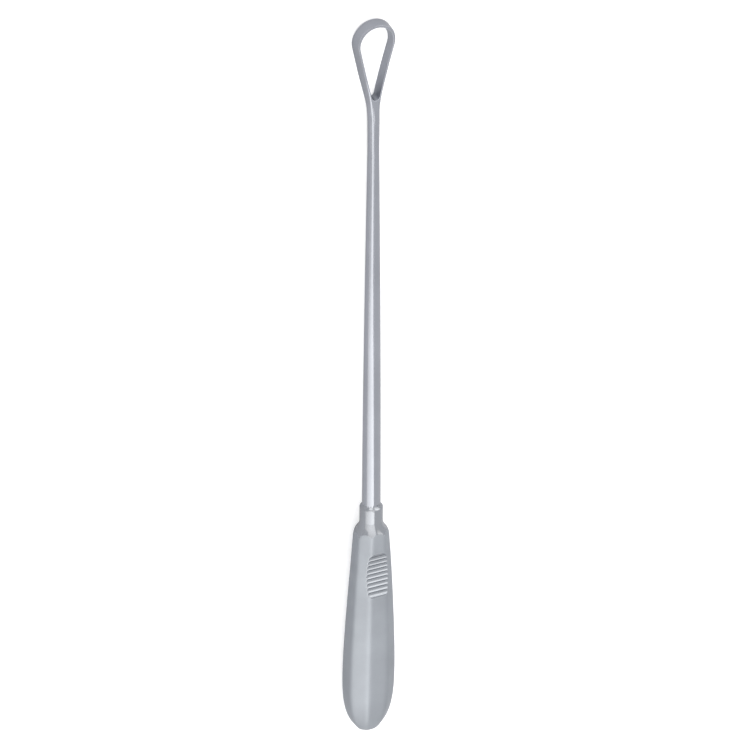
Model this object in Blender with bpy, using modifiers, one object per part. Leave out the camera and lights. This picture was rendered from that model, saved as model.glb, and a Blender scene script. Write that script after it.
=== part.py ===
"""Uterine curette: a forged steel loop on a ground round shaft, set in an eight-sided handle.

The tool is drawn along its own axis: Y runs from the butt of the handle (0) to the tip of the
loop, Z points to the thumb-rest side and X across. At the end the tool is laid on its back, as
it comes to rest on a table, with the middle of its footprint at the origin.
"""

import math

import bmesh
import bpy
import numpy as np
from mathutils import Matrix

MM = 0.001

# Handle, lengths along the axis from the butt
HANDLE_LENGTH = 105.2 * MM        # butt to the top face of the collar
COLLAR_RADIUS = 4.62 * MM
COLLAR_CHAMFER = 0.9 * MM
COLLAR_LENGTH = 7.0 * MM          # round part, with its chamfer
SHOULDER_LENGTH = 5.6 * MM        # concave then convex flare from collar to the flats
SHOULDER_RADIUS = 7.0 * MM

# Eight-sided body of the handle
NECK_HALF_WIDTH = 6.7 * MM        # at the shoulder
BELLY_HALF_WIDTH = 9.95 * MM      # at its widest
BELLY_FROM_BUTT = 29.0 * MM
BELLY_FULLNESS = 1.42             # 1 is a straight taper to the neck, more is rounder
BUTT_FULLNESS = 3.0               # 2 is an ellipse, more is blunter
THICKNESS_RATIO = 0.853           # half thickness over half width, at the belly
NECK_THICKNESS_RATIO = 0.96       # and at the shoulder, where the section is nearly regular
FRONT_FLAT_RATIO = 0.435          # half width of the front and back flats over half width
NECK_FLAT_RATIO = 0.415           # and at the shoulder
SIDE_FLAT_RATIO = 0.435           # half height of the side flats over half thickness
NECK_SIDE_RATIO = 0.40            # and at the shoulder
NECK_POWER = 4.0                  # more than 1 keeps these three changes close to the shoulder
DROOP_START = 80.0 * MM           # from here to the butt the body droops away from the axis
BUTT_DROOP = 2.5 * MM
DROOP_POWER = 1.1
RIDGE_WIDTH = 0.32 * MM           # each ridge is rounded over this much on either side
SHOULDER_POWER = 1.3              # more than 1 keeps the flare slow where it leaves the collar

# Thumb rest, a scoop across the front flat with ribs in it
REST_FROM_BUTT = 76.0 * MM        # middle of the scoop
SCOOP_RADIUS = 60.0 * MM
SCOOP_DEPTH = 0.85 * MM
GROOVE_COUNT = 9
GROOVE_PITCH = 2.0 * MM
GROOVE_RADIUS = 1.25 * MM

# Shaft
SHAFT_RADIUS_COLLAR = 3.66 * MM
SHAFT_RADIUS_NECK = 2.22 * MM
SHAFT_TAPER_END = 257.0 * MM      # from here to the loop the shaft is straight
SHAFT_TAPER_POWER = 1.6
TANG_RADIUS = 2.4 * MM
TANG_LENGTH = 28.0 * MM
SEAT_GAP = 0.3 * MM               # clearance of the tang and of the shaft's shoulder

# Loop
TOOL_LENGTH = 310.0 * MM
LOOP_RADIUS = 8.35 * MM           # round end of the loop, outside, at its back
LOOP_LEG_ANGLE = math.radians(14.2)
LOOP_NECK_BLEND = 0.55 * MM       # fullness of the fillet between shaft and legs
LOOP_DEPTH = 4.4 * MM             # front to back
LOOP_FORGE_START = 268.0 * MM     # here the round bar starts to turn into the two legs
LOOP_FORGE_LENGTH = 15.0 * MM
LEG_TAPER = 0.85 * MM             # the legs are this much thinner at the front, on the outside
OPENING_RADIUS = 6.8 * MM         # round end of the opening, at the front face
OPENING_TAPER = 0.2 * MM          # and this much less at the back
TIP_EDGE = 0.7 * MM               # width of the rim left at the tip
TIP_BEVEL = 1.4 * MM              # how far the edge stands back from the tip
BEVEL_MARGIN = 0.15 * MM          # the bevel's sides pass this far outside the loop
CROTCH_BOTTOM = 278.0 * MM
CROTCH_RADIUS = 1.75 * MM         # narrow end of the opening, at the front face
CROTCH_TAPER = 0.5 * MM           # and this much less at the back
LOOP_DISH = 0.5 * MM              # the legs dip behind the axis by this much
TIP_LIFT = 1.3 * MM               # and the tip comes forward of it by this much

ROUND_STEPS = 48
CUT_MARGIN = 3.0 * MM


def clear_scene():
    for old in list(bpy.data.objects):
        bpy.data.objects.remove(old, do_unlink=True)


def steel(name, colour, roughness):
    material = bpy.data.materials.new(name)
    material.use_nodes = True
    shader = material.node_tree.nodes["Principled BSDF"]
    shader.inputs["Base Color"].default_value = (*colour, 1.0)
    shader.inputs["Metallic"].default_value = 1.0
    shader.inputs["Roughness"].default_value = roughness
    return material


def add_object(name, mesh, collection, parent):
    item = bpy.data.objects.new(name, mesh)
    collection.objects.link(item)
    item.parent = parent
    return item


def hide_cutter(cutter):
    cutter.hide_render = True
    cutter.display_type = "WIRE"
    return cutter


def loft_mesh(name, rings):
    """A closed body through rings of equally many points, with a flat cap at each end."""
    shape = bmesh.new()
    loops = [[shape.verts.new(point) for point in ring] for ring in rings]
    for low, high in zip(loops, loops[1:]):
        for i in range(len(low)):
            j = (i + 1) % len(low)
            shape.faces.new((low[i], low[j], high[j], high[i]))
    shape.faces.new(loops[0])
    shape.faces.new(reversed(loops[-1]))
    bmesh.ops.recalc_face_normals(shape, faces=shape.faces)
    mesh = bpy.data.meshes.new(name)
    shape.to_mesh(mesh)
    shape.free()
    mesh.shade_smooth()
    mesh.set_sharp_from_angle(angle=math.radians(25.0))
    return mesh


def turned_mesh(name, profile):
    """A turned solid about the Y axis from (distance along Y, radius) points, tip to butt."""
    shape = bmesh.new()
    points = [shape.verts.new((radius, along, 0.0)) for along, radius in profile]
    for first, second in zip(points, points[1:]):
        shape.edges.new((first, second))
    mesh = bpy.data.meshes.new(name)
    shape.to_mesh(mesh)
    shape.free()
    return mesh


def add_turned(name, profile, collection, parent):
    item = add_object(name, turned_mesh(name, profile), collection, parent)
    screw = item.modifiers.new("turn", "SCREW")
    screw.axis = "Y"
    screw.steps = ROUND_STEPS
    screw.render_steps = ROUND_STEPS
    screw.use_merge_vertices = True
    screw.merge_threshold = 0.00001
    return item


def add_boolean(item, cutter, operation):
    cut = item.modifiers.new(cutter.name, "BOOLEAN")
    cut.operation = operation
    cut.solver = "EXACT"
    cut.object = cutter


def smooth_step(value):
    value = min(max(value, 0.0), 1.0)
    return value * value * (3.0 - 2.0 * value)


# Handle

def neck_share(along):
    """0 at the belly and below it, 1 at the shoulder."""
    run = HANDLE_LENGTH - COLLAR_LENGTH - SHOULDER_LENGTH - BELLY_FROM_BUTT
    return max((along - BELLY_FROM_BUTT) / run, 0.0)


def body_half_width(along):
    """Half width of the eight-sided body, widest at the belly and closing at the butt."""
    body = BELLY_HALF_WIDTH - (BELLY_HALF_WIDTH - NECK_HALF_WIDTH) * neck_share(along) ** BELLY_FULLNESS
    return body * butt_share(along)


def section_ratio(belly, neck, along):
    """A proportion of the section, which changes from its belly value close to the shoulder."""
    return belly + (neck - belly) * neck_share(along) ** NECK_POWER


def body_half_height(along):
    return section_ratio(THICKNESS_RATIO, NECK_THICKNESS_RATIO, along) * body_half_width(along)


def butt_share(along):
    share = max(1.0 - along / BELLY_FROM_BUTT, 0.0)
    return math.sqrt(max(1.0 - share ** BUTT_FULLNESS, 0.0))


def body_centre_height(along):
    share = max(1.0 - along / DROOP_START, 0.0)
    return -BUTT_DROOP * share ** DROOP_POWER


def front_height(along):
    return body_centre_height(along) + body_half_height(along)


def rounded_octagon(along):
    """Eight flats with a small round on each ridge, as points in the plane at one station."""
    half_width, half_height = body_half_width(along), body_half_height(along)
    flat = section_ratio(FRONT_FLAT_RATIO, NECK_FLAT_RATIO, along) * half_width
    side = section_ratio(SIDE_FLAT_RATIO, NECK_SIDE_RATIO, along) * half_height
    corners = [(half_width, -side), (half_width, side), (flat, half_height), (-flat, half_height),
               (-half_width, side), (-half_width, -side), (-flat, -half_height),
               (flat, -half_height)]
    cut = min(RIDGE_WIDTH, 0.2 * side)
    points = []
    for i, (x, z) in enumerate(corners):
        before = corners[i - 1]
        after = corners[(i + 1) % len(corners)]
        step_in = shifted((x, z), before, cut)
        step_out = shifted((x, z), after, cut)
        crown = ((step_in[0] + step_out[0] + 2.0 * x) / 4.0, (step_in[1] + step_out[1] + 2.0 * z) / 4.0)
        points += [step_in, crown, step_out]
    return [(x, along, z + body_centre_height(along)) for x, z in points]


def shifted(start, target, distance):
    length = math.hypot(target[0] - start[0], target[1] - start[1])
    share = distance / length
    return (start[0] + (target[0] - start[0]) * share, start[1] + (target[1] - start[1]) * share)


def handle_stations():
    """Stations along the body, closer together where the butt rounds over."""
    butt_steps = 14
    body_steps = 18
    butt = [BELLY_FROM_BUTT * (1.0 - math.cos(0.5 * math.pi * (i + 0.6) / butt_steps))
            for i in range(butt_steps)]
    top = HANDLE_LENGTH + CUT_MARGIN
    body = [BELLY_FROM_BUTT + (top - BELLY_FROM_BUTT) * i / body_steps for i in range(body_steps + 1)]
    return butt + body


def envelope_profile():
    """Collar, shoulder and beyond: the turned shape that limits the eight-sided body."""
    shoulder_top = HANDLE_LENGTH - COLLAR_LENGTH
    shoulder_end = shoulder_top - SHOULDER_LENGTH
    wide = 2.0 * BELLY_HALF_WIDTH
    profile = [(HANDLE_LENGTH, 0.0), (HANDLE_LENGTH, COLLAR_RADIUS - COLLAR_CHAMFER),
               (HANDLE_LENGTH - COLLAR_CHAMFER, COLLAR_RADIUS)]
    steps = 12
    for i in range(steps + 1):
        share = i / steps
        radius = COLLAR_RADIUS + (SHOULDER_RADIUS - COLLAR_RADIUS) * shoulder_rise(share)
        profile.append((shoulder_top - SHOULDER_LENGTH * share, radius))
    clear_of_flats = shoulder_end - SHOULDER_LENGTH
    profile += [(clear_of_flats, wide), (-CUT_MARGIN, wide), (-CUT_MARGIN, 0.0)]
    return profile


def shoulder_rise(share):
    """Slow concave start, then a convex round over onto the flats."""
    return 0.5 * (1.0 - math.cos(math.pi * share ** SHOULDER_POWER))


def thumb_rest_cutter(collection, parent):
    """A bar across the front flat whose underside is the scoop with its round grooves."""
    probe = 0.5 * GROOVE_COUNT * GROOVE_PITCH
    rise = front_height(REST_FROM_BUTT + probe) - front_height(REST_FROM_BUTT - probe)
    lean = math.atan2(rise, 2.0 * probe)
    floor_centre = SCOOP_RADIUS - SCOOP_DEPTH
    half_span = math.sqrt(SCOOP_RADIUS ** 2 - (SCOOP_RADIUS - SCOOP_DEPTH - CUT_MARGIN) ** 2)
    grooves = [(i - (GROOVE_COUNT - 1) / 2.0) * GROOVE_PITCH for i in range(GROOVE_COUNT)]
    sink = GROOVE_RADIUS - GROOVE_RADIUS * math.cos(math.asin(GROOVE_PITCH / (2.0 * GROOVE_RADIUS)))
    reach = GROOVE_COUNT * GROOVE_PITCH / 2.0
    outline = []
    end_steps = 5
    for i in range(end_steps):
        angle = math.asin((-half_span + (half_span - reach) * i / end_steps) / SCOOP_RADIUS)
        outline.append((SCOOP_RADIUS * math.sin(angle), floor_centre - SCOOP_RADIUS * math.cos(angle)))
    steps = 8
    for place in grooves:
        for i in range(steps):
            offset = GROOVE_PITCH * (i / steps - 0.5)
            extra = math.sqrt(GROOVE_RADIUS ** 2 - offset ** 2) - (GROOVE_RADIUS - sink)
            angle = (place + offset) / SCOOP_RADIUS
            radius = SCOOP_RADIUS + extra
            outline.append((radius * math.sin(angle), floor_centre - radius * math.cos(angle)))
    for i in range(end_steps + 1):
        angle = math.asin((reach + (half_span - reach) * i / end_steps) / SCOOP_RADIUS)
        outline.append((SCOOP_RADIUS * math.sin(angle), floor_centre - SCOOP_RADIUS * math.cos(angle)))
    half_across = 2.0 * BELLY_HALF_WIDTH
    leaned = [(REST_FROM_BUTT + y * math.cos(lean) - z * math.sin(lean),
               front_height(REST_FROM_BUTT) + y * math.sin(lean) + z * math.cos(lean)) for y, z in outline]
    rings = [[(x, y, z) for y, z in leaned] for x in (-half_across, half_across)]
    return hide_cutter(add_object("thumb_rest_cut", loft_mesh("thumb_rest_cut", rings), collection, parent))


def build_handle(parts, cutters, parent):
    rings = [rounded_octagon(along) for along in handle_stations()]
    handle = add_object("handle", loft_mesh("handle", rings), parts, parent)
    handle.data.materials.append(steel("handle_steel", (0.30, 0.31, 0.335), 0.38))
    envelope = hide_cutter(add_turned("collar_and_shoulder", envelope_profile(), cutters, parent))
    bore_radius = TANG_RADIUS + SEAT_GAP
    bore_bottom = HANDLE_LENGTH - TANG_LENGTH - SEAT_GAP
    bore = [(HANDLE_LENGTH + CUT_MARGIN, 0.0), (HANDLE_LENGTH + CUT_MARGIN, bore_radius),
            (bore_bottom, bore_radius), (bore_bottom, 0.0)]
    bore_cut = hide_cutter(add_turned("tang_bore", bore, cutters, parent))
    add_boolean(handle, envelope, "INTERSECT")
    add_boolean(handle, thumb_rest_cutter(cutters, parent), "DIFFERENCE")
    add_boolean(handle, bore_cut, "DIFFERENCE")
    return handle


# Loop and shaft

def shaft_radius(along):
    start = HANDLE_LENGTH
    share = min(max((along - start) / (SHAFT_TAPER_END - start), 0.0), 1.0)
    return SHAFT_RADIUS_COLLAR - (SHAFT_RADIUS_COLLAR - SHAFT_RADIUS_NECK) * share ** SHAFT_TAPER_POWER


def loop_centre():
    return TOOL_LENGTH - LOOP_RADIUS


def outer_half_width(along):
    """Round end, straight legs and a soft fillet into the shaft."""
    tangent = loop_centre() - LOOP_RADIUS * math.sin(LOOP_LEG_ANGLE)
    if along >= tangent:
        return math.sqrt(max(LOOP_RADIUS ** 2 - (along - loop_centre()) ** 2, 0.0))
    leg = LOOP_RADIUS * math.cos(LOOP_LEG_ANGLE) - (tangent - along) * math.tan(LOOP_LEG_ANGLE)
    shaft = shaft_radius(along)
    reach = 0.5 * (leg - shaft)
    blend = LOOP_NECK_BLEND * smooth_step((tangent - along) / (tangent - CROTCH_BOTTOM))
    return 0.5 * (leg + shaft) + math.sqrt(reach ** 2 + blend ** 2)


def loop_rise(along):
    """Side view of the loop: a shallow dish whose tip comes forward again."""
    share = min(max((along - LOOP_FORGE_START) / (TOOL_LENGTH - LOOP_FORGE_START), 0.0), 1.0)
    return TIP_LIFT * share ** 3 - LOOP_DISH * math.sin(math.pi * share) ** 1.5


def blade_section(along):
    """A full round on the shaft, turning into a bar with straight, slightly tapered sides."""
    shaft = shaft_radius(along)
    forging = smooth_step((along - LOOP_FORGE_START) / LOOP_FORGE_LENGTH)
    back = outer_half_width(along) if forging > 0.0 else shaft
    front = back - min(LEG_TAPER, 0.5 * back)
    half_depth = shaft + (0.5 * LOOP_DEPTH - shaft) * forging
    points = []
    for i in range(ROUND_STEPS):
        angle = 2.0 * math.pi * (i + 0.5) / ROUND_STEPS
        height = math.sin(angle)
        side = math.copysign(1.0, math.cos(angle))
        straight = side * (0.5 * (back + front) - 0.5 * (back - front) * height)
        width = max(shaft, back)
        x = width * math.cos(angle) * (1.0 - forging) + straight * forging
        points.append((x, along, half_depth * height + loop_rise(along)))
    return points


def blade_stations():
    shaft_steps = 14
    neck_steps = 14
    leg_steps = 10
    round_steps = 18
    shaft = [HANDLE_LENGTH + SEAT_GAP + (SHAFT_TAPER_END - HANDLE_LENGTH - SEAT_GAP) * i / shaft_steps
             for i in range(shaft_steps)]
    neck_top = CROTCH_BOTTOM + 2.0 * CROTCH_RADIUS
    neck = [SHAFT_TAPER_END] + [LOOP_FORGE_START + (neck_top - LOOP_FORGE_START) * i / neck_steps
                                for i in range(neck_steps)]
    tangent = loop_centre() - LOOP_RADIUS * math.sin(LOOP_LEG_ANGLE)
    legs = [neck_top + (tangent - neck_top) * i / leg_steps for i in range(leg_steps)]
    last = math.radians(88.0)
    arc = [loop_centre() + LOOP_RADIUS * math.sin(-LOOP_LEG_ANGLE + (last + LOOP_LEG_ANGLE) * i / round_steps)
           for i in range(round_steps + 1)]
    return shaft + neck + legs + arc


def tang_rings():
    bottom = HANDLE_LENGTH - TANG_LENGTH
    seat = HANDLE_LENGTH + SEAT_GAP
    rings = []
    for along in (bottom, seat):
        rings.append([(TANG_RADIUS * math.cos(2.0 * math.pi * (i + 0.5) / ROUND_STEPS), along,
                       TANG_RADIUS * math.sin(2.0 * math.pi * (i + 0.5) / ROUND_STEPS))
                      for i in range(ROUND_STEPS)])
    return rings


def opening_outline(height):
    """Two round ends joined by their common tangents; the opening narrows towards the back."""
    depth = 0.5 - height / LOOP_DEPTH
    top_centre = TOOL_LENGTH - TIP_BEVEL - TIP_EDGE - OPENING_RADIUS
    crotch_centre = CROTCH_BOTTOM + CROTCH_RADIUS
    tilt = math.asin((OPENING_RADIUS - CROTCH_RADIUS) / (top_centre - crotch_centre))
    ends = [(OPENING_RADIUS - OPENING_TAPER * depth, top_centre, -tilt, math.pi + tilt, 36),
            (CROTCH_RADIUS - CROTCH_TAPER * depth, crotch_centre, math.pi + tilt,
             2.0 * math.pi - tilt, 12)]
    points = []
    for radius, centre, first, last, steps in ends:
        for i in range(steps + 1):
            angle = first + (last - first) * i / steps
            points.append((radius * math.cos(angle), centre + radius * math.sin(angle), height))
    return points


def opening_cutter(collection, parent):
    reach = 0.5 * LOOP_DEPTH + LOOP_DISH + TIP_LIFT + CUT_MARGIN
    rings = [opening_outline(height) for height in (-reach, reach)]
    return hide_cutter(add_object("opening_cut", loft_mesh("opening_cut", rings), collection, parent))


def bevel_limit(collection, parent):
    """A slanted round-ended block: what lies outside it is ground away to make the tip's bevel."""
    radius = LOOP_RADIUS + BEVEL_MARGIN
    lean = TIP_BEVEL / LOOP_DEPTH
    start = HANDLE_LENGTH - TANG_LENGTH - CUT_MARGIN
    back = TIP_LIFT - 0.5 * LOOP_DEPTH
    steps = 36
    rings = []
    for height in (-4.0 * SHAFT_RADIUS_COLLAR, 4.0 * SHAFT_RADIUS_COLLAR):
        centre = loop_centre() - lean * (height - back)
        arc = [(radius * math.cos(math.pi * i / steps), centre + radius * math.sin(math.pi * i / steps), height)
               for i in range(steps + 1)]
        rings.append(arc + [(-radius, start, height), (radius, start, height)])
    return hide_cutter(add_object("bevel_limit", loft_mesh("bevel_limit", rings), collection, parent))


def build_blade(parts, cutters, parent):
    rings = tang_rings() + [blade_section(y) for y in blade_stations()]
    blade = add_object("loop_and_shaft", loft_mesh("loop_and_shaft", rings), parts, parent)
    blade.data.materials.append(steel("blade_steel", (0.34, 0.35, 0.38), 0.2))
    add_boolean(blade, opening_cutter(cutters, parent), "DIFFERENCE")
    add_boolean(blade, bevel_limit(cutters, parent), "INTERSECT")
    return blade


# At rest

def tool_points(item):
    """Points of the finished piece in the tool's own frame, as rows of x, y, z."""
    graph = bpy.context.evaluated_depsgraph_get()
    mesh = item.evaluated_get(graph).to_mesh()
    points = np.empty(len(mesh.vertices) * 3)
    mesh.vertices.foreach_get("co", points)
    item.evaluated_get(graph).to_mesh_clear()
    return points.reshape(-1, 3)


def lay_down(frame, handle, blade):
    """Tilt and raise the tool so that the belly and the back of the loop touch the ground."""
    handle_points = tool_points(handle)
    blade_points = tool_points(blade)
    low, high = 0.0, math.radians(20.0)
    for _ in range(40):
        tilt = 0.5 * (low + high)
        across = np.array([0.0, -math.sin(tilt), math.cos(tilt)])
        if (blade_points @ across).min() > (handle_points @ across).min():
            low = tilt
        else:
            high = tilt
    turn = np.array(Matrix.Rotation(-tilt, 3, "X"))
    laid = np.vstack([handle_points, blade_points]) @ turn.T
    middle = 0.5 * (laid[:, 1].min() + laid[:, 1].max())
    frame.rotation_euler = (-tilt, 0.0, 0.0)
    frame.location = (0.0, -middle, -laid[:, 2].min())


def main():
    clear_scene()
    parts = bpy.data.collections.new("uterine_curette")
    cutters = bpy.data.collections.new("cutters")
    for collection in (parts, cutters):
        bpy.context.scene.collection.children.link(collection)
    frame = bpy.data.objects.new("rest_frame", None)
    parts.objects.link(frame)
    handle = build_handle(parts, cutters, frame)
    blade = build_blade(parts, cutters, frame)
    lay_down(frame, handle, blade)


main()
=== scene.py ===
"""Uterine curette on a white table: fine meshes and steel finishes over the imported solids.

Lengths in the shape functions are millimetres in the tool's own frame: Y from the butt of the
handle to the tip of the loop, Z to the thumb rest, X across. tool_to_world lays them down.
"""

import math

import bpy
import numpy as np
from mathutils import Matrix, Vector

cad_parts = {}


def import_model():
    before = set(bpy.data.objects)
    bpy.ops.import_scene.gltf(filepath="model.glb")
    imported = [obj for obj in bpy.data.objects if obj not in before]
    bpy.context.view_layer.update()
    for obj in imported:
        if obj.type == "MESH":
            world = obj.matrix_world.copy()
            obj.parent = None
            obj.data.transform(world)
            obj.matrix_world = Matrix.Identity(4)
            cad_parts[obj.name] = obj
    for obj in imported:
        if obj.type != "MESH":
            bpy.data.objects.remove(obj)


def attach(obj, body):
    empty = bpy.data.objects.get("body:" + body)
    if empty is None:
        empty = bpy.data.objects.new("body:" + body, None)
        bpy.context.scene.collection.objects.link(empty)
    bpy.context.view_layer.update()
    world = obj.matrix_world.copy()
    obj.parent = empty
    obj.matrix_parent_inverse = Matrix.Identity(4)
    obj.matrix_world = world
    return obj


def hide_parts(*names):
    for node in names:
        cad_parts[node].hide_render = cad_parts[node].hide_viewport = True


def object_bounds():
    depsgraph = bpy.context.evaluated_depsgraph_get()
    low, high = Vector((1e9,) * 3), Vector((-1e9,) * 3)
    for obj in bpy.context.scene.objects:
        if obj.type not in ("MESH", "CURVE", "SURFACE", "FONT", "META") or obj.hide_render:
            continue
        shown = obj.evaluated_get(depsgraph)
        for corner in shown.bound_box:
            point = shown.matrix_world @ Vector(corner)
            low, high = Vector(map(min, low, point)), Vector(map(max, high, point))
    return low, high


MM = 0.001
TINY = 1.0e-6

# Where the tool rests
REST_TILT = math.radians(-1.6483993)
REST_OFFSET = Vector((0.0, -0.154914, 0.010846))

# Handle
HANDLE_LENGTH = 105.2
COLLAR_RADIUS = 4.62
COLLAR_CHAMFER = 0.9
COLLAR_LENGTH = 7.0
SHOULDER_LENGTH = 5.6
SHOULDER_RADIUS = 7.0
SHOULDER_POWER = 1.3
SHOULDER_EDGE = 0.25
COVE_TOP_SLOPE = 0.16
COVE_SLOPE_GAIN = 0.64
NECK_HALF_WIDTH = 6.7
BELLY_HALF_WIDTH = 9.95
BELLY_FROM_BUTT = 29.0
BELLY_FULLNESS = 1.42
BUTT_FULLNESS = 3.0
BUTT_POLE = 0.002
THICKNESS_RATIO = 0.853
NECK_THICKNESS_RATIO = 0.96
FRONT_FLAT_RATIO = 0.435
NECK_FLAT_RATIO = 0.415
SIDE_FLAT_RATIO = 0.435
NECK_SIDE_RATIO = 0.40
NECK_POWER = 4.0
DROOP_START = 80.0
BUTT_DROOP = 2.5
DROOP_POWER = 1.1
RIDGE_SHARPNESS = 42.0
SHADED_SHARPNESS = 23.0
RIM_EDGE = 0.4
LIP_RADIUS = 3.45
LIP_DEPTH = 0.6

# Thumb rest
REST_FROM_BUTT = 76.0
SCOOP_RADIUS = 60.0
SCOOP_DEPTH = 0.85
SCOOP_HALF_LENGTH = math.sqrt(2.0 * SCOOP_RADIUS * SCOOP_DEPTH)
GROOVE_COUNT = 9
GROOVE_PITCH = 2.0
GROOVE_RADIUS = 1.25
RIB_EDGE = 0.12
CREST_REACH = 0.09
CREST_SAMPLES = 7
CUT_MARGIN = 1.9
LOWEST_CUT = 0.5
LOWEST_SINE = 0.05
NO_CUT = 1.0e3

# Rings and angles of the handle's mesh
HANDLE_ANGLES = 240
BUTT_RINGS = 56
FIRST_BUTT_SHARE = 0.02
BELLY_SPACING = 1.4
SCOOP_MARGIN = 2.0
SCOOP_SPACING = 0.125
NECK_SPACING = 0.6
SHOULDER_SPACING = 0.2
COLLAR_SPACING = 0.9
RIM_REACH = 0.3
RIM_RINGS = 13
END_FACE_REACH = 0.5
END_FACE_RINGS = 6

# Finishes of the handle's faces, in the order of its steels
SATIN, TURNED, MILLED = 0, 1, 2

# Shaft
SHAFT_RADIUS_COLLAR = 3.66
SHAFT_RADIUS_NECK = 2.22
SHAFT_TAPER_END = 257.0
SHAFT_TAPER_POWER = 1.6
SEAT_DEPTH = 0.25

# Loop
TOOL_LENGTH = 310.0
LOOP_RADIUS = 8.35
LOOP_LEG_ANGLE = math.radians(14.2)
LOOP_NECK_BLEND = 0.55
LOOP_DEPTH = 4.4
LOOP_FORGE_START = 268.0
LOOP_FORGE_LENGTH = 15.0
LEG_TAPER = 0.85
LEG_TAPER_FADE = 0.4
OPENING_RADIUS = 6.8
OPENING_TAPER = 0.2
TIP_EDGE = 0.7
TIP_BEVEL = 1.4
BEVEL_MARGIN = 0.15
CROTCH_BOTTOM = 278.0
CROTCH_RADIUS = 1.75
CROTCH_TAPER = 0.5
LOOP_DISH = 0.5
DISH_POWER = 1.5
TIP_LIFT = 1.3
LIFT_POWER = 3
EDGE_ROUNDING = 0.7
RIM_ROUNDING = 0.15
CRISP_EDGE = 0.07
CRISP_START = 280.0
CRISP_RUN = 9.0
INNER_WALL_REACH = 0.12

# Grid that the shaft and loop are meshed on, and how its points are drawn onto the surface
GRID_HALF_WIDTH = 8.85
GRID_BOTTOM = -4.05
GRID_TOP = 4.35
GRID_SPACING = 0.15
LOOP_GRID_MARGIN = 0.6
SHAFT_SPACING = 2.5
SHAFT_GRID_END = LOOP_FORGE_START - 6.0
CELL_CORNERS = [(i, j, k) for i in (0, 1) for j in (0, 1) for k in (0, 1)]
DRAW_ROUNDS = 4
LONGEST_DRAW = 0.1
SMALLEST_SLOPE = 0.05

# Steels: colour, roughness, scale of the grain and its stretch, depth of the grain in metres,
# scale of the slow drift
STEELS = {
    "handle_steel_satin": ((0.327, 0.348, 0.381), 0.53, 5200.0, (1.0, 1.0, 1.0), 0.00002, 60.0),
    "handle_steel_turned": ((0.300, 0.314, 0.342), 0.15, 4200.0, (1.0, 1.0, 1.0), 0.000003, 60.0),
    "handle_steel_milled": ((0.312, 0.330, 0.360), 0.23, 4200.0, (1.0, 1.0, 1.0), 0.000003, 60.0),
    "blade_steel_ground": ((0.340, 0.354, 0.393), 0.13, 4200.0, (1.0, 0.12, 1.0), 0.000003, 40.0),
    # The inner wall's steel is rougher than the ground steel, and its colour is lighter than the
    # same steel's: painted light that brightens the shaded walls of the loop's opening and its
    # crotch.
    "blade_steel_inner_painted_light": ((0.405, 0.422, 0.468), 0.42, 4200.0, (1.0, 1.0, 1.0), 0.000006, 40.0),
}
GRAIN_DETAIL = 3.0
GRAIN_SPAN = (0.25, 0.75)
GLOSS_BELOW = 0.04
GLOSS_ABOVE = 0.05
DRIFT_DETAIL = 4.0
DRIFT_SPAN = (0.3, 0.7)
DRIFT_TONES = (0.94, 1.06)

# Table and world
TABLE_HALF = 6.0
TABLE_COLOUR = (0.64, 0.645, 0.665, 1.0)
TABLE_GLOW = 0.5
WORLD_COLOUR = (1.0, 1.0, 1.0, 1.0)
WORLD_FILL = 0.85
WORLD_SEEN = 1.0

# Soft light panels, as corners in metres, and their levels across and lengthways
MAIN_PANEL = [(-9.5, -4.3, 1.0), (-9.5, -6.5, 1.0), (0.09, -2.8, 1.0), (0.09, -0.56, 1.0),
              (-0.09, -0.47, 1.0), (-0.34, -0.42, 1.0), (-0.34, -0.3, 1.0), (-0.75, -0.3, 1.0),
              (-1.11, -0.585, 1.0), (-3.08, -1.46, 1.0)]
MAIN_ACROSS = [(-9.5, 0.48), (-2.72, 0.64), (-1.5, 0.74), (-0.94, 0.79), (-0.58, 0.86),
               (-0.31, 0.95), (0.09, 1.0)]
MAIN_LENGTHWAYS = [(-6.5, 1.0), (-0.3, 1.0)]
TIP_PANEL = [(-7.0, -2.2, 1.0), (-0.75, -0.28, 1.0), (0.08, -0.28, 1.0), (0.22, 0.5, 1.0),
             (-0.05, 1.8, 1.0), (-0.2, 4.5, 1.0), (-1.6, 4.5, 1.0), (-1.45, 1.7, 1.0),
             (-0.85, 1.2, 1.0), (-0.95, 0.6, 1.0), (-1.25, 0.1, 1.0), (-2.4, -0.1, 1.0),
             (-7.0, -1.0, 1.0)]
TIP_ACROSS = [(-7.0, 0.68), (-2.8, 0.68), (-0.5, 1.0), (0.22, 1.0)]
TIP_LENGTHWAYS = [(-2.2, 1.0), (-0.28, 1.0), (0.1, 0.92), (0.5, 0.76), (1.35, 0.68),
                  (1.75, 1.15), (4.5, 1.25)]
FAR_PANEL = [(0.3, -0.1, 1.0), (0.75, -0.1, 1.0), (1.5, 0.3, 1.0), (2.8, 0.8, 1.0),
             (2.8, 2.2, 1.0), (1.0, 1.65, 1.0), (0.3, 1.65, 1.0)]
FAR_ACROSS = [(0.3, 0.6), (0.45, 1.0), (1.6, 1.0), (2.8, 0.6)]
FAR_LENGTHWAYS = [(-0.1, 0.45), (0.3, 0.8), (0.6, 1.0), (2.2, 1.0)]
PANELS = [("main_softbox", MAIN_PANEL, 2.75, MAIN_ACROSS, MAIN_LENGTHWAYS),
          ("tip_softbox", TIP_PANEL, 2.15, TIP_ACROSS, TIP_LENGTHWAYS),
          ("far_softbox", FAR_PANEL, 2.6, FAR_ACROSS, FAR_LENGTHWAYS)]
PANEL_COLOUR = (1.0, 0.985, 0.955, 1.0)

# Camera: distances in metres, focal length and middle in pixels of its frame
CAMERA_LEAN = math.radians(28.0)
CAMERA_SIDE = math.radians(27.0)
CAMERA_ROLL = math.radians(-0.34)
CAMERA_DISTANCE = 1.7
CAMERA_AIM = 0.160
CAMERA_FOCAL = 4424.89
CAMERA_MIDDLE = (371.97, 379.24)
CAMERA_FRAME = 750.0
CAMERA_CLIP_END = 20.0
SENSOR_WIDTH = 36.0


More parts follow.
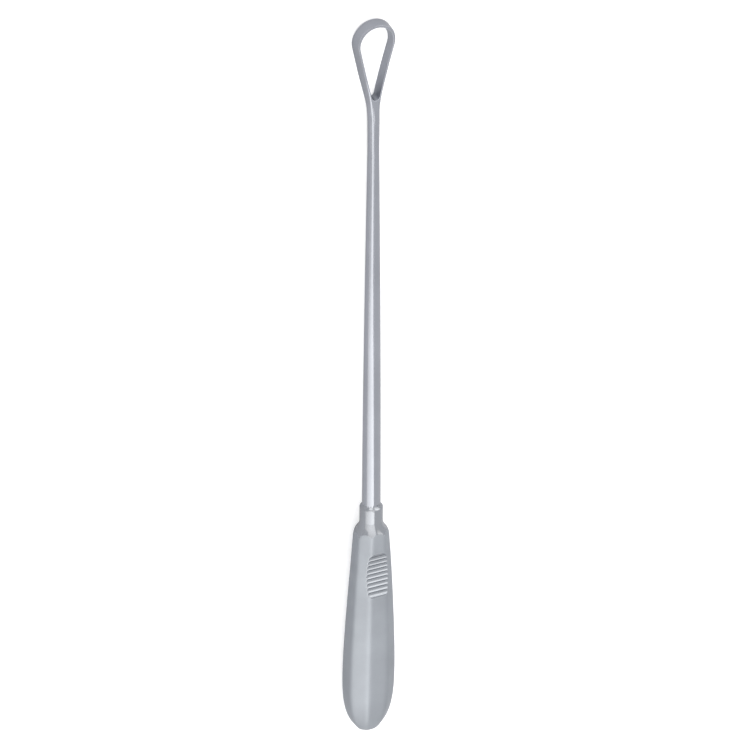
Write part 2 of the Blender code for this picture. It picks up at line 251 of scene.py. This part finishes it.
def tool_to_world():
    return Matrix.Translation(REST_OFFSET) @ Matrix.Rotation(REST_TILT, 4, "X")


def smooth_step(value):
    value = np.clip(value, 0.0, 1.0)
    return value * value * (3.0 - 2.0 * value)


def smooth_max(first, second, radius):
    near = np.maximum(radius - np.abs(first - second), 0.0) / radius
    return np.maximum(first, second) + near * near * radius * 0.25


def smooth_min(first, second, radius):
    return -smooth_max(-first, -second, radius)


# Handle

def neck_share(along):
    run = HANDLE_LENGTH - COLLAR_LENGTH - SHOULDER_LENGTH - BELLY_FROM_BUTT
    return np.clip((along - BELLY_FROM_BUTT) / run, 0.0, None)


def section_ratio(belly, neck, along):
    return belly + (neck - belly) * neck_share(along) ** NECK_POWER


def body_half_width(along):
    narrowing = (BELLY_HALF_WIDTH - NECK_HALF_WIDTH) * neck_share(along) ** BELLY_FULLNESS
    down = np.clip(1.0 - along / BELLY_FROM_BUTT, 0.0, 1.0)
    return (BELLY_HALF_WIDTH - narrowing) * np.sqrt(np.clip(1.0 - down ** BUTT_FULLNESS, TINY, 1.0))


def body_half_height(along):
    return section_ratio(THICKNESS_RATIO, NECK_THICKNESS_RATIO, along) * body_half_width(along)


def body_centre_height(along):
    return -BUTT_DROOP * np.clip(1.0 - along / DROOP_START, 0.0, 1.0) ** DROOP_POWER


def front_height(along):
    return body_centre_height(along) + body_half_height(along)


def body_radius(along, theta, sharpness):
    """Polar radius of the eight-sided body: the limits of all its flats melted together."""
    half_width, half_height = body_half_width(along)[:, None], body_half_height(along)[:, None]
    flat = section_ratio(FRONT_FLAT_RATIO, NECK_FLAT_RATIO, along)[:, None] * half_width
    side = section_ratio(SIDE_FLAT_RATIO, NECK_SIDE_RATIO, along)[:, None] * half_height
    slant_x, slant_z = half_height - side, half_width - flat
    cos, sin = np.abs(np.cos(theta))[None, :], np.abs(np.sin(theta))[None, :]
    limits = [cos / half_width, sin / half_height,
              (slant_x * cos + slant_z * sin) / (slant_x * flat + slant_z * half_height)]
    return sum(limit ** sharpness for limit in limits) ** (-1.0 / sharpness)


def envelope_radius(along):
    """The turned collar and shoulder, and no limit further down the body."""
    shoulder_top = HANDLE_LENGTH - COLLAR_LENGTH
    share = np.clip((shoulder_top - along) / SHOULDER_LENGTH, 0.0, 1.0)
    flare = 0.5 * (1.0 - np.cos(math.pi * share ** SHOULDER_POWER))
    radius = COLLAR_RADIUS + (SHOULDER_RADIUS - COLLAR_RADIUS) * flare
    below = np.clip(shoulder_top - SHOULDER_LENGTH - along, 0.0, None)
    radius = radius + below * (2.0 * BELLY_HALF_WIDTH - SHOULDER_RADIUS) / SHOULDER_LENGTH
    chamfer = COLLAR_RADIUS - COLLAR_CHAMFER + (HANDLE_LENGTH - along)
    return smooth_min(radius, chamfer, RIM_EDGE)


def rest_floor(along):
    """Height of the scooped and ribbed thumb rest along the handle."""
    probe = 0.5 * GROOVE_COUNT * GROOVE_PITCH
    rise = front_height(REST_FROM_BUTT + probe) - front_height(REST_FROM_BUTT - probe)
    lean = math.atan2(rise, 2.0 * probe)
    place = (along - REST_FROM_BUTT) / math.cos(lean)
    arc = SCOOP_RADIUS - np.sqrt(np.clip(SCOOP_RADIUS ** 2 - place ** 2, 0.0, None))
    offset = place - GROOVE_PITCH * np.round(place / GROOVE_PITCH)
    sink = GROOVE_RADIUS - math.sqrt(GROOVE_RADIUS ** 2 - (0.5 * GROOVE_PITCH) ** 2)
    groove = np.sqrt(GROOVE_RADIUS ** 2 - offset ** 2) - (GROOVE_RADIUS - sink)
    groove = np.where(np.abs(place) < probe, groove, 0.0)
    return front_height(REST_FROM_BUTT) + place * math.sin(lean) + arc - SCOOP_DEPTH - groove


def softened(function, along, reach):
    """The mean of a function over a short run, which rounds its creases."""
    steps = np.linspace(-reach, reach, CREST_SAMPLES)
    return sum(function(along + step) for step in steps) / len(steps)


def handle_stations():
    """Where the handle's rings lie along it: the closest where its surface bends the most."""
    low = REST_FROM_BUTT - (SCOOP_HALF_LENGTH + SCOOP_MARGIN)
    high = REST_FROM_BUTT + (SCOOP_HALF_LENGTH + SCOOP_MARGIN)
    shoulder_top = HANDLE_LENGTH - COLLAR_LENGTH
    shoulder_foot = shoulder_top - SHOULDER_LENGTH
    rim = HANDLE_LENGTH - COLLAR_CHAMFER
    belly_end, neck_start, neck_end = low - 0.5, high + 0.3, shoulder_foot - 2.0
    shoulder_start, shoulder_end = shoulder_foot - 1.8, shoulder_top + 0.4
    collar_start, collar_end = shoulder_top + 0.9, rim - 0.5
    butt_angles = 0.5 * math.pi * np.linspace(FIRST_BUTT_SHARE, 1.0, BUTT_RINGS)[:-1]
    return np.concatenate([
        BELLY_FROM_BUTT * (1.0 - np.cos(butt_angles)),
        np.arange(BELLY_FROM_BUTT, belly_end, BELLY_SPACING),
        np.arange(low, high, SCOOP_SPACING),
        np.arange(neck_start, neck_end, NECK_SPACING),
        np.arange(shoulder_start, shoulder_end, SHOULDER_SPACING),
        np.arange(collar_start, collar_end, COLLAR_SPACING),
        rim + np.linspace(-RIM_REACH, RIM_REACH, RIM_RINGS),
        HANDLE_LENGTH - np.linspace(END_FACE_REACH, 0.0, END_FACE_RINGS)])


def skin_points(along, theta, radius):
    centre = body_centre_height(along)[:, None]
    x, y, z = radius * np.cos(theta), along[:, None] + 0.0 * radius, radius * np.sin(theta) + centre
    return np.stack([x, y, z], axis=-1)


def skin_normals(points):
    around = np.roll(points, -1, axis=1) - np.roll(points, 1, axis=1)
    normals = np.cross(np.gradient(points, axis=0), around)
    return normals / np.linalg.norm(normals, axis=-1, keepdims=True)


def shoulder_softening(along, theta):
    """Turns the normals of the shoulder to those of a cove that steepens towards the flats."""
    share = (HANDLE_LENGTH - COLLAR_LENGTH - along) / SHOULDER_LENGTH
    step = 0.02
    rise = (envelope_radius(along - step) - envelope_radius(along + step)) / (2.0 * step)
    cove = COVE_TOP_SLOPE + COVE_SLOPE_GAIN * np.clip(share, 0.0, 1.0) ** 2
    cove = np.where(share > 0.0, cove, 0.0)
    parts = []
    for slope, sign in ((cove, 1.0), (rise, -1.0)):
        size = np.hypot(1.0, slope)[:, None]
        lengthways = slope[:, None] / size + 0.0 * theta
        ring = np.stack([np.cos(theta) / size, lengthways, np.sin(theta) / size], axis=-1)
        parts.append(sign * ring)
    return (parts[0] + parts[1]) * (share > 0.0)[:, None, None]


def handle_surface(along, theta):
    """Polar radius, finish and softening of the normal at each point of the handle's rings."""
    sin = np.sin(theta)[None, :]
    body = body_radius(along, theta, RIDGE_SHARPNESS)
    floor = softened(rest_floor, along, CREST_REACH)[:, None] - body_centre_height(along)[:, None]
    span = np.abs(along - REST_FROM_BUTT)[:, None] < SCOOP_HALF_LENGTH + CUT_MARGIN
    cut = np.clip(floor, LOWEST_CUT, None) / np.clip(sin, LOWEST_SINE, None)
    cut = np.where((sin > LOWEST_SINE) & span, cut, NO_CUT)
    ribbed = smooth_min(body, cut, RIB_EDGE)
    envelope = envelope_radius(along)[:, None]
    radius = smooth_min(ribbed, envelope, SHOULDER_EDGE)
    finish = np.where(envelope < ribbed, TURNED, np.where(cut < body, MILLED, SATIN))
    off_rest = np.clip(0.5 - (body - cut) / (2.0 * RIB_EDGE), 0.0, 1.0)
    off_shoulder = np.clip(0.5 - (ribbed - envelope) / (2.0 * SHOULDER_EDGE), 0.0, 1.0)
    rounder = skin_normals(skin_points(along, theta, body_radius(along, theta, SHADED_SHARPNESS)))
    ridges = rounder - skin_normals(skin_points(along, theta, body))
    shoulder = shoulder_softening(along, theta) * (envelope < ribbed)[..., None]
    return radius, finish, ridges * (off_rest * off_shoulder)[..., None] + shoulder


def handle_mesh():
    """A closed skin over the handle, with its faces' finishes and a softening of its normals."""
    along = handle_stations()
    angles = HANDLE_ANGLES
    theta = 2.0 * math.pi * (np.arange(angles) + 0.5) / angles
    radius, finish, softening = handle_surface(along, theta)
    lip_top = HANDLE_LENGTH + COLLAR_RADIUS - COLLAR_CHAMFER - LIP_RADIUS
    lip_along = np.array([lip_top, HANDLE_LENGTH - LIP_DEPTH])
    lip = skin_points(lip_along, theta, np.full((len(lip_along), angles), LIP_RADIUS))
    rings = np.concatenate([skin_points(along, theta, radius), lip])
    pole = np.array([[0.0, along[0] - BUTT_POLE, body_centre_height(along[0])]])
    deep = np.array([[0.0, HANDLE_LENGTH - LIP_DEPTH, 0.0]])
    vertices = np.concatenate([rings.reshape(-1, 3), pole, deep])
    plain = np.zeros((len(vertices) - len(along) * angles, 3))
    softening = np.concatenate([softening.reshape(-1, 3), plain])
    base = (np.arange(len(rings) - 1) * angles)[:, None]
    here = np.arange(angles)[None, :]
    after = (here + 1) % angles
    quads = [base + here, base + angles + here, base + angles + after, base + after]
    faces = np.stack(quads, axis=-1).reshape(-1, 4).tolist()
    lip_finish = np.full((len(lip_along) - 1, angles), TURNED)
    finish = np.concatenate([finish, lip_finish]).reshape(-1).tolist()
    last = (len(rings) - 1) * angles
    pole_index, deep_index = last + angles, last + angles + 1
    for i in range(angles):
        j = (i + 1) % angles
        faces.append([pole_index, i, j])
        faces.append([deep_index, last + j, last + i])
        finish += [SATIN, TURNED]
    return vertices, faces, np.array(finish), softening


# Loop and shaft

def shaft_radius(along):
    share = np.clip((along - HANDLE_LENGTH) / (SHAFT_TAPER_END - HANDLE_LENGTH), 0.0, 1.0)
    narrowing = (SHAFT_RADIUS_COLLAR - SHAFT_RADIUS_NECK) * share ** SHAFT_TAPER_POWER
    return SHAFT_RADIUS_COLLAR - narrowing


def loop_rise(along):
    share = np.clip((along - LOOP_FORGE_START) / (TOOL_LENGTH - LOOP_FORGE_START), 0.0, 1.0)
    return TIP_LIFT * share ** LIFT_POWER - LOOP_DISH * np.sin(math.pi * share) ** DISH_POWER


def leg_half_width(along):
    centre = TOOL_LENGTH - LOOP_RADIUS
    tangent = centre - LOOP_RADIUS * math.sin(LOOP_LEG_ANGLE)
    leg = LOOP_RADIUS * math.cos(LOOP_LEG_ANGLE) - (tangent - along) * math.tan(LOOP_LEG_ANGLE)
    shaft = shaft_radius(along)
    blend = LOOP_NECK_BLEND * smooth_step((tangent - along) / (tangent - CROTCH_BOTTOM))
    return 0.5 * (leg + shaft) + np.sqrt(0.25 * (leg - shaft) ** 2 + blend ** 2)


def opening_distance(x, y, z):
    """Signed distance to the teardrop opening, which narrows towards the back."""
    depth = 0.5 - z / LOOP_DEPTH
    wide = OPENING_RADIUS - OPENING_TAPER * depth
    narrow = CROTCH_RADIUS - CROTCH_TAPER * depth
    low = CROTCH_BOTTOM + CROTCH_RADIUS
    high = TOOL_LENGTH - TIP_BEVEL - TIP_EDGE - OPENING_RADIUS
    across, up = np.abs(x), y - low
    sine = (narrow - wide) / (high - low)
    cosine = np.sqrt(1.0 - sine * sine)
    side = -sine * across + cosine * up
    straight = cosine * across + sine * up - narrow
    bottom = np.hypot(across, up) - narrow
    top = np.hypot(across, y - high) - wide
    return np.where(side < 0.0, bottom, np.where(side > cosine * (high - low), top, straight))


def blade_field(points):
    """Roughly the distance to the surface of shaft and loop, negative inside."""
    x, y, z = points[..., 0], points[..., 1], points[..., 2]
    shaft = shaft_radius(y)
    forged = smooth_step((y - LOOP_FORGE_START) / LOOP_FORGE_LENGTH)
    height = z - loop_rise(y)
    half_depth = shaft + (0.5 * LOOP_DEPTH - shaft) * forged
    centre = TOOL_LENGTH - LOOP_RADIUS
    tangent = centre - LOOP_RADIUS * math.sin(LOOP_LEG_ANGLE)
    low = np.minimum(y, tangent)
    outer = leg_half_width(low)
    step = 0.1
    slope = (leg_half_width(low + step) - leg_half_width(low - step)) / (2.0 * step)
    across = np.abs(x)
    rise = np.clip(0.5 + height / LOOP_DEPTH, 0.0, 1.0)
    taper = LEG_TAPER * rise * across / (across + LEG_TAPER_FADE)
    leg = (across + taper - outer) / np.sqrt(1.0 + slope * slope)
    round_end = np.hypot(across + taper, y - centre) - LOOP_RADIUS
    side = np.where(y < tangent, leg, round_end)
    crisp = smooth_step((y - CRISP_START) / CRISP_RUN)
    edge = EDGE_ROUNDING + (CRISP_EDGE - EDGE_ROUNDING) * crisp
    bar = smooth_max(side, np.abs(height) - half_depth, edge)
    width = np.maximum(shaft, np.where(y < tangent, outer, LOOP_RADIUS))
    bead = (np.hypot(across / width, height / half_depth) - 1.0) * np.minimum(width, half_depth)
    field = (1.0 - forged) * bead + forged * bar
    rim = RIM_ROUNDING + (CRISP_EDGE - RIM_ROUNDING) * crisp
    field = smooth_max(field, -opening_distance(x, y, z), rim)
    lean = TIP_BEVEL / LOOP_DEPTH
    middle = centre - lean * (z - (TIP_LIFT - 0.5 * LOOP_DEPTH))
    bevel = np.where(y > middle, np.hypot(x, y - middle), across) - LOOP_RADIUS - BEVEL_MARGIN
    field = smooth_max(field, bevel / math.hypot(1.0, lean), rim)
    return np.maximum(field, HANDLE_LENGTH - SEAT_DEPTH - y)


def field_gradient(points, step=0.01):
    parts = []
    for axis in range(3):
        shift = np.zeros(3)
        shift[axis] = step
        parts.append((blade_field(points + shift) - blade_field(points - shift)) / (2.0 * step))
    return np.stack(parts, axis=-1)


def at_corner(array, corner):
    """The values that a grid has at one corner of each of its cells."""
    i, j, k = (slice(step, size - 1 + step) for step, size in zip(corner, array.shape))
    return array[i, j, k]


def cell_points(grid, field, active):
    """For each active cell, the mean of the places where the field changes sign on its edges."""
    values = {corner: at_corner(field, corner)[active] for corner in CELL_CORNERS}
    places = {corner: at_corner(grid, corner)[active] for corner in CELL_CORNERS}
    total = np.zeros((int(active.sum()), 3))
    count = np.zeros(int(active.sum()))
    for first in CELL_CORNERS:
        for axis in range(3):
            if first[axis]:
                continue
            second = tuple(1 if a == axis else first[a] for a in range(3))
            f, g = values[first], values[second]
            crossed = (f < 0.0) != (g < 0.0)
            share = np.where(crossed, f / np.where(crossed, f - g, 1.0), 0.0)
            place = places[first] + share[:, None] * (places[second] - places[first])
            total += np.where(crossed[:, None], place, 0.0)
            count += crossed
    return total / count[:, None]


def cell_quads(inside, index):
    """A quad between the four cells round each grid edge that goes through the surface."""
    quads = []
    for axis in range(3):
        others = [a for a in range(3) if a != axis]
        near = [slice(1, -1)] * 3
        near[axis] = slice(0, -1)
        far = list(near)
        far[axis] = slice(1, None)
        first, second = inside[tuple(near)], inside[tuple(far)]
        where = np.argwhere(first != second) + np.array([0 if a == axis else 1 for a in range(3)])
        leaves = first[first != second]
        ring = []
        for u, v in ((0, 0), (1, 0), (1, 1), (0, 1)):
            cell = where.copy()
            cell[:, others[0]] -= u
            cell[:, others[1]] -= v
            ring.append(index[cell[:, 0], cell[:, 1], cell[:, 2]])
        ring = np.stack(ring, axis=-1)
        kept = leaves if axis != 1 else ~leaves
        quads.append(np.where(kept[:, None], ring, ring[:, ::-1]))
    return np.concatenate(quads)


def drawn_to_surface(points):
    for _ in range(DRAW_ROUNDS):
        gradient = field_gradient(points)
        size = np.maximum((gradient ** 2).sum(axis=1), SMALLEST_SLOPE)
        move = blade_field(points)[:, None] * gradient / size[:, None]
        points = points - np.clip(move, -LONGEST_DRAW, LONGEST_DRAW)
    return points


def surface_net(xs, ys, zs):
    """A quad skin where the field changes sign on a grid, drawn onto the exact surface."""
    grid = np.stack(np.meshgrid(xs, ys, zs, indexing="ij"), axis=-1)
    field = blade_field(grid)
    inside = field < 0.0
    filled = sum(at_corner(inside, corner).astype(np.int8) for corner in CELL_CORNERS)
    active = (filled > 0) & (filled < len(CELL_CORNERS))
    index = np.full(active.shape, -1, dtype=np.int64)
    index[active] = np.arange(int(active.sum()))
    return drawn_to_surface(cell_points(grid, field, active)), cell_quads(inside, index)


def blade_grid():
    """Lines of the grid: wide steps along the plain shaft, fine ones along the loop."""
    xs = np.arange(-GRID_HALF_WIDTH, GRID_HALF_WIDTH + 0.001, GRID_SPACING)
    seat = HANDLE_LENGTH - SEAT_DEPTH
    below_seat, inside_shaft = [seat - 0.4, seat - 0.1], seat + 0.1
    shaft = np.concatenate([below_seat, np.arange(inside_shaft, SHAFT_GRID_END, SHAFT_SPACING)])
    loop = np.arange(shaft[-1] + LOOP_GRID_MARGIN, TOOL_LENGTH + LOOP_GRID_MARGIN, GRID_SPACING)
    zs = np.arange(GRID_BOTTOM, GRID_TOP + 0.01, GRID_SPACING)
    return xs, np.concatenate([shaft, loop]), zs


# Finishes

def new_material(name):
    material = bpy.data.materials.new(name)
    material.use_nodes = True
    return material, material.node_tree.nodes, material.node_tree.links


def noise(nodes, links, place, scale, detail):
    node = nodes.new("ShaderNodeTexNoise")
    node.inputs["Scale"].default_value = scale
    node.inputs["Detail"].default_value = detail
    links.new(place, node.inputs["Vector"])
    return node.outputs["Fac"]


def map_range(nodes, links, value, source, target):
    """A value carried over from the source range to the target range."""
    node = nodes.new("ShaderNodeMapRange")
    node.inputs["From Min"].default_value, node.inputs["From Max"].default_value = source
    node.inputs["To Min"].default_value, node.inputs["To Max"].default_value = target
    links.new(value, node.inputs["Value"])
    return node.outputs["Result"]


def calculate(nodes, links, operation, first, second):
    """A maths node on an output and on a second output or a plain number."""
    node = nodes.new("ShaderNodeMath")
    node.operation = operation
    links.new(first, node.inputs[0])
    if isinstance(second, float):
        node.inputs[1].default_value = second
    else:
        links.new(second, node.inputs[1])
    return node.outputs["Value"]


def steel(name, colour, roughness, grain, grain_stretch, depth, drift):
    """Steel with a fine grain in its roughness and bump, and a slow drift in its tone."""
    material, nodes, links = new_material(name)
    shader = nodes["Principled BSDF"]
    shader.inputs["Metallic"].default_value = 1.0
    coords = nodes.new("ShaderNodeTexCoord")
    stretch = nodes.new("ShaderNodeMapping")
    stretch.inputs["Scale"].default_value = grain_stretch
    links.new(coords.outputs["Object"], stretch.inputs["Vector"])
    fine = noise(nodes, links, stretch.outputs["Vector"], grain, GRAIN_DETAIL)
    slow = noise(nodes, links, coords.outputs["Object"], drift, DRIFT_DETAIL)
    tint = nodes.new("ShaderNodeVectorMath")
    tint.operation = "SCALE"
    tint.inputs[0].default_value = colour
    links.new(map_range(nodes, links, slow, DRIFT_SPAN, DRIFT_TONES), tint.inputs["Scale"])
    links.new(tint.outputs["Vector"], shader.inputs["Base Color"])
    limits = (roughness - GLOSS_BELOW, roughness + GLOSS_ABOVE)
    links.new(map_range(nodes, links, fine, GRAIN_SPAN, limits), shader.inputs["Roughness"])
    relief = nodes.new("ShaderNodeBump")
    relief.inputs["Strength"].default_value = 1.0
    relief.inputs["Distance"].default_value = depth
    links.new(fine, relief.inputs["Height"])
    links.new(relief.outputs["Normal"], shader.inputs["Normal"])
    return material


def add_object(name, data):
    thing = bpy.data.objects.new(name, data)
    bpy.context.scene.collection.objects.link(thing)
    return thing


def add_piece(name, vertices, faces, steels, finish, node, box, normals=None, softening=None):
    """A skin over one node, held to the CAD box, with a steel per face and its own normals."""
    mesh = bpy.data.meshes.new(name)
    turn = np.array(tool_to_world().to_3x3()).T
    placed = np.clip(vertices * MM @ turn + np.array(REST_OFFSET), box[0], box[1])
    mesh.from_pydata(placed.tolist(), [], faces)
    mesh.shade_smooth()
    mesh.update()
    if softening is None:
        normals = normals @ turn
    else:
        normals = np.array([normal.vector for normal in mesh.vertex_normals]) + softening @ turn
    normals /= np.linalg.norm(normals, axis=1)[:, None]
    mesh.normals_split_custom_set_from_vertices(normals.tolist())
    for material in steels:
        mesh.materials.append(material)
    mesh.polygons.foreach_set("material_index", finish.astype(np.int32))
    piece = add_object(name, mesh)
    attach(piece, "root")
    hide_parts(node)


# Stage

def add_table():
    mesh = bpy.data.meshes.new("table")
    half = TABLE_HALF
    corners = [(-half, -half, 0.0), (half, -half, 0.0), (half, half, 0.0), (-half, half, 0.0)]
    mesh.from_pydata(corners, [], [(0, 1, 2, 3)])
    material, nodes, links = new_material("table_white")
    nodes.clear()
    output = nodes.new("ShaderNodeOutputMaterial")
    diffuse = nodes.new("ShaderNodeBsdfDiffuse")
    diffuse.inputs["Color"].default_value = TABLE_COLOUR
    glow = nodes.new("ShaderNodeEmission")
    path = nodes.new("ShaderNodeLightPath")
    lift = calculate(nodes, links, "MULTIPLY", path.outputs["Is Camera Ray"], TABLE_GLOW)
    links.new(lift, glow.inputs["Strength"])
    both = nodes.new("ShaderNodeAddShader")
    links.new(diffuse.outputs["BSDF"], both.inputs[0])
    links.new(glow.outputs["Emission"], both.inputs[1])
    links.new(both.outputs["Shader"], output.inputs["Surface"])
    mesh.materials.append(material)
    table = add_object("table", mesh)


def add_world():
    """A white world, a little weaker as a light than where it is seen or mirrored."""
    world = bpy.data.worlds.new("studio")
    bpy.context.scene.world = world
    world.use_nodes = True
    nodes, links = world.node_tree.nodes, world.node_tree.links
    background = nodes["Background"]
    background.inputs["Color"].default_value = WORLD_COLOUR
    path = nodes.new("ShaderNodeLightPath").outputs
    seen = calculate(nodes, links, "MAXIMUM", path["Is Camera Ray"], path["Is Glossy Ray"])
    seen = calculate(nodes, links, "MAXIMUM", seen, path["Is Transmission Ray"])
    level = map_range(nodes, links, seen, (0.0, 1.0), (WORLD_FILL, WORLD_SEEN))
    links.new(level, background.inputs["Strength"])


def level_along(nodes, links, distance, stops):
    """A level that follows (place, level) stops along one axis."""
    low, high = stops[0][0], stops[-1][0]
    ramp = nodes.new("ShaderNodeValToRGB")
    elements = ramp.color_ramp.elements
    while len(elements) < len(stops):
        elements.new(0.5)
    for element, (place, level) in zip(elements, stops):
        element.position = (place - low) / (high - low)
        element.color = (level, level, level, 1.0)
    share = map_range(nodes, links, distance, (low, high), (0.0, 1.0))
    links.new(share, ramp.inputs["Fac"])
    return ramp.outputs["Color"]


def add_softbox(name, corners, radiance, across, lengthways):
    """A soft light panel of any outline, which the camera doesn't see, with its changing level."""
    mesh = bpy.data.meshes.new(name)
    mesh.from_pydata(corners, [], [tuple(range(len(corners)))])
    material, nodes, links = new_material(name)
    nodes.clear()
    output = nodes.new("ShaderNodeOutputMaterial")
    glow = nodes.new("ShaderNodeEmission")
    glow.inputs["Color"].default_value = PANEL_COLOUR
    coords = nodes.new("ShaderNodeTexCoord")
    axes = nodes.new("ShaderNodeSeparateXYZ")
    links.new(coords.outputs["Object"], axes.inputs["Vector"])
    share_across = level_along(nodes, links, axes.outputs["X"], across)
    share_lengthways = level_along(nodes, links, axes.outputs["Y"], lengthways)
    share = calculate(nodes, links, "MULTIPLY", share_across, share_lengthways)
    level = calculate(nodes, links, "MULTIPLY", share, radiance)
    links.new(level, glow.inputs["Strength"])
    links.new(glow.outputs["Emission"], output.inputs["Surface"])
    mesh.materials.append(material)
    panel = add_object(name, mesh)
    panel.visible_camera = False


def add_camera():
    """The camera of the photograph, in the tool's frame and then laid down with the tool."""
    lean, side, roll = CAMERA_LEAN, CAMERA_SIDE, CAMERA_ROLL
    level = math.cos(lean)
    back = Vector((-math.sin(side) * level, math.sin(lean), math.cos(side) * level))
    right = Vector((math.cos(side), 0.0, math.sin(side)))
    up = back.cross(right)
    rolled_right = right * math.cos(roll) - up * math.sin(roll)
    rolled_up = right * math.sin(roll) + up * math.cos(roll)
    place = Matrix((rolled_right, rolled_up, back)).transposed().to_4x4()
    place.translation = Vector((0.0, CAMERA_AIM, 0.0)) + back * CAMERA_DISTANCE
    middle_x, middle_y = CAMERA_MIDDLE
    lens = bpy.data.cameras.new("camera")
    lens.sensor_width = SENSOR_WIDTH
    lens.lens = CAMERA_FOCAL / CAMERA_FRAME * SENSOR_WIDTH
    lens.shift_x = (CAMERA_FRAME / 2.0 - middle_x) / CAMERA_FRAME
    lens.shift_y = (middle_y - CAMERA_FRAME / 2.0) / CAMERA_FRAME
    lens.clip_end = CAMERA_CLIP_END
    camera = add_object("camera", lens)
    camera.matrix_world = tool_to_world() @ place
    bpy.context.scene.camera = camera


def main():
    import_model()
    before = [list(map(float, corner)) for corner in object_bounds()]
    scene = bpy.context.scene
    scene.view_settings.view_transform = "Standard"
    satin, turned, milled, ground, inner = [steel(name, *values) for name, values in STEELS.items()]
    vertices, faces, finish, softening = handle_mesh()
    add_piece("handle_skin", vertices, faces, [satin, turned, milled], finish,
              "handle", before, softening=softening)
    points, quads = surface_net(*blade_grid())
    x, y, z = points[quads].mean(axis=1).T
    # Faces on the walls of the opening take the inner steel, whose lighter colour is painted light
    # in the shaded opening and crotch.
    inner_wall = opening_distance(x, y, z) < INNER_WALL_REACH
    add_piece("loop_and_shaft_skin", points, quads.tolist(), [ground, inner], inner_wall,
              "loop_and_shaft", before, normals=field_gradient(points))
    add_table()
    add_world()
    for panel in PANELS:
        add_softbox(*panel)
    add_camera()


main()
